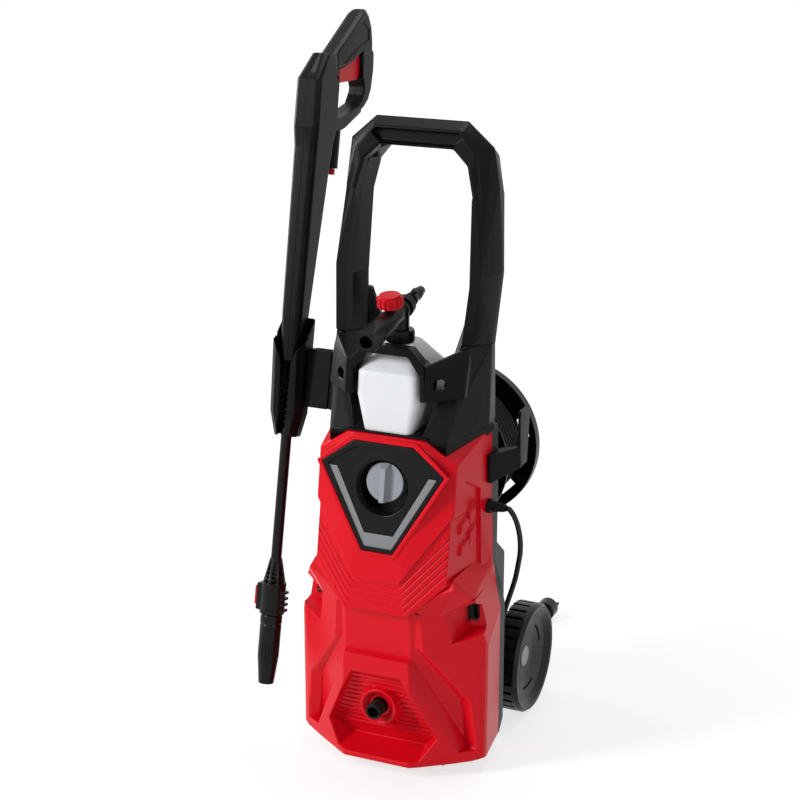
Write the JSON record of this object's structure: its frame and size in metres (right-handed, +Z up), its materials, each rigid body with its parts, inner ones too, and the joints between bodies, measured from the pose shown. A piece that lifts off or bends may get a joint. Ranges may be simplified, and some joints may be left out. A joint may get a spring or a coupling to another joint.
{
  "type": "pressure washer",
  "caption": "Upright cold-water pressure washer with carrying handle, foam bottle, hose reel, wheels, mains cord, and a trigger gun with lance in a side holder.",
  "frame": {"origin": "on the floor, under the middle of the front foot bar, on the body's middle plane", "axes": "+Z up; the control panel faces -Y; +X is the side with the cord hook and the mains cord"},
  "size_m": [0.3637, 0.6246, 0.9906],
  "materials": {
    "red_shell": "satin",
    "black_plastic": "fine grain",
    "grey_plastic": "fine grain",
    "silver_plastic": "satin silver paint",
    "clear_bottle": "milky translucent",
    "wheel_black": "satin",
    "soft_rubber": "matt",
    "cord_rubber": "matt",
    "steel": "brushed",
    "aluminium": "cast",
    "brass": "machined"
  },
  "bodies": {
    "machine": {"front_shell": "red_shell", "rear_shell": "grey_plastic", "base_pan": "black_plastic", "front_foot": "soft_rubber", "control_panel": "black_plastic", "panel_trim": "silver_plastic", "rotary_switch": "black_plastic", "motor": "steel", "pump_body": "aluminium", "pump_head": "aluminium", "capacitor": "aluminium", "water_inlet": "black_plastic", "inlet_filter": "steel", "outlet_pipe": "brass", "handle_front": "black_plastic", "handle_rear": "black_plastic", "handle_base": "black_plastic", "handle_screws": "steel", "lance_holder": "black_plastic", "cord_hook": "black_plastic", "cable_gland": "soft_rubber", "axle": "steel", "reel_spindle": "steel", "shell_screws": "steel", "power_cord": "cord_rubber", "cord_coil": "cord_rubber", "plug": "black_plastic"},
    "switch": {"switch_knob": "silver_plastic"},
    "fan": {"motor_fan": "grey_plastic"},
    "foam_set": {"foam_bottle": "clear_bottle", "bottle_collar": "black_plastic", "foam_body": "black_plastic", "foam_rings": "soft_rubber"},
    "foam_nozzle": {"foam_horn": "black_plastic"},
    "dosing": {"foam_knob": "red_shell"},
    "gun": {"gun_shell_left": "black_plastic", "gun_shell_right": "black_plastic", "gun_valve": "brass", "trigger_pin": "steel", "lance_neck": "black_plastic", "lance_pipe": "black_plastic", "nozzle_head": "black_plastic"},
    "gun_trigger": {"trigger": "red_shell"},
    "safety_catch": {"trigger_catch": "red_shell"},
    "release_button": {"nozzle_button": "red_shell"},
    "spray_sleeve": {"nozzle_sleeve": "black_plastic"},
    "hose_swivel": {"gun_inlet_collar": "red_shell"},
    "left_wheel": {"wheel_left": "wheel_black", "hub_cap_left": "silver_plastic"},
    "right_wheel": {"wheel_right": "wheel_black", "hub_cap_right": "silver_plastic"},
    "reel": {"reel_drum": "black_plastic", "hose_winding": "soft_rubber", "reel_crank": "black_plastic", "hose_fitting": "brass"},
    "winding_knob": {"crank_knob": "black_plastic"}
  },
  "joints": [
    {"name": "left_wheel_spin", "type": "hinge", "parent": "machine", "child": "left_wheel", "pos_m": [-0.115, 0.204, 0.0803], "axis": [1, 0, 0], "continuous": true},
    {"name": "right_wheel_spin", "type": "hinge", "parent": "machine", "child": "right_wheel", "pos_m": [0.115, 0.204, 0.0803], "axis": [1, 0, 0], "continuous": true},
    {"name": "fan_spin", "type": "hinge", "parent": "machine", "child": "fan", "pos_m": [0, 0.04, 0.3], "axis": [0, 0, 1], "continuous": true},
    {"name": "switch_turn", "type": "hinge", "parent": "machine", "child": "switch", "pos_m": [0, -0.04415, 0.41856], "axis": [0, 0.9854, -0.1702], "range_deg": [0, 90]},
    {"name": "foam_set_out", "type": "slide", "parent": "machine", "child": "foam_set", "axis": [0, 1, 0], "range_m": [0, 0.045]},
    {"name": "foam_nozzle_turn", "type": "hinge", "parent": "foam_set", "child": "foam_nozzle", "pos_m": [0, 0.018, 0.64], "axis": [0, 0.9903, 0.1392], "range_deg": [0, 90]},
    {"name": "dosing_turn", "type": "hinge", "parent": "foam_set", "child": "dosing", "pos_m": [0, -0.01171, 0.63582], "axis": [0, -0.1392, 0.9903], "range_deg": [0, 270]},
    {"name": "gun_lift", "type": "slide", "parent": "machine", "child": "gun", "axis": [0, 0.2215, 0.9751], "range_m": [0, 0.15]},
    {"name": "trigger_pull", "type": "hinge", "parent": "gun", "child": "gun_trigger", "pos_m": [-0.185, 0.18744, 0.90933], "axis": [1, 0, 0], "range_deg": [0, 14], "stiffness_Nm_per_rad": 1.5, "springref_deg": -14.32},
    {"name": "catch_swing", "type": "hinge", "parent": "gun_trigger", "child": "safety_catch", "pos_m": [-0.185, 0.25428, 0.90563], "axis": [1, 0, 0], "range_deg": [0, 40]},
    {"name": "button_press", "type": "slide", "parent": "gun", "child": "release_button", "axis": [1, 0, 0], "range_m": [0, 0.003], "stiffness_N_per_m": 500, "springref_m": -0.002},
    {"name": "sleeve_turn", "type": "hinge", "parent": "gun", "child": "spray_sleeve", "pos_m": [-0.185, -0.02198, 0.13652], "axis": [0, 0.2215, 0.9751], "range_deg": [0, 90]},
    {"name": "hose_swivel_turn", "type": "hinge", "parent": "gun", "child": "hose_swivel", "pos_m": [-0.185, 0.18931, 0.77764], "axis": [0, 0.2215, 0.9751], "continuous": true},
    {"name": "reel_spin", "type": "hinge", "parent": "machine", "child": "reel", "pos_m": [0, 0.2, 0.392], "axis": [0, 1, 0], "continuous": true},
    {"name": "winding_knob_spin", "type": "hinge", "parent": "reel", "child": "winding_knob", "pos_m": [0, 0.28, 0.308], "axis": [0, 1, 0], "continuous": true}
  ]
}
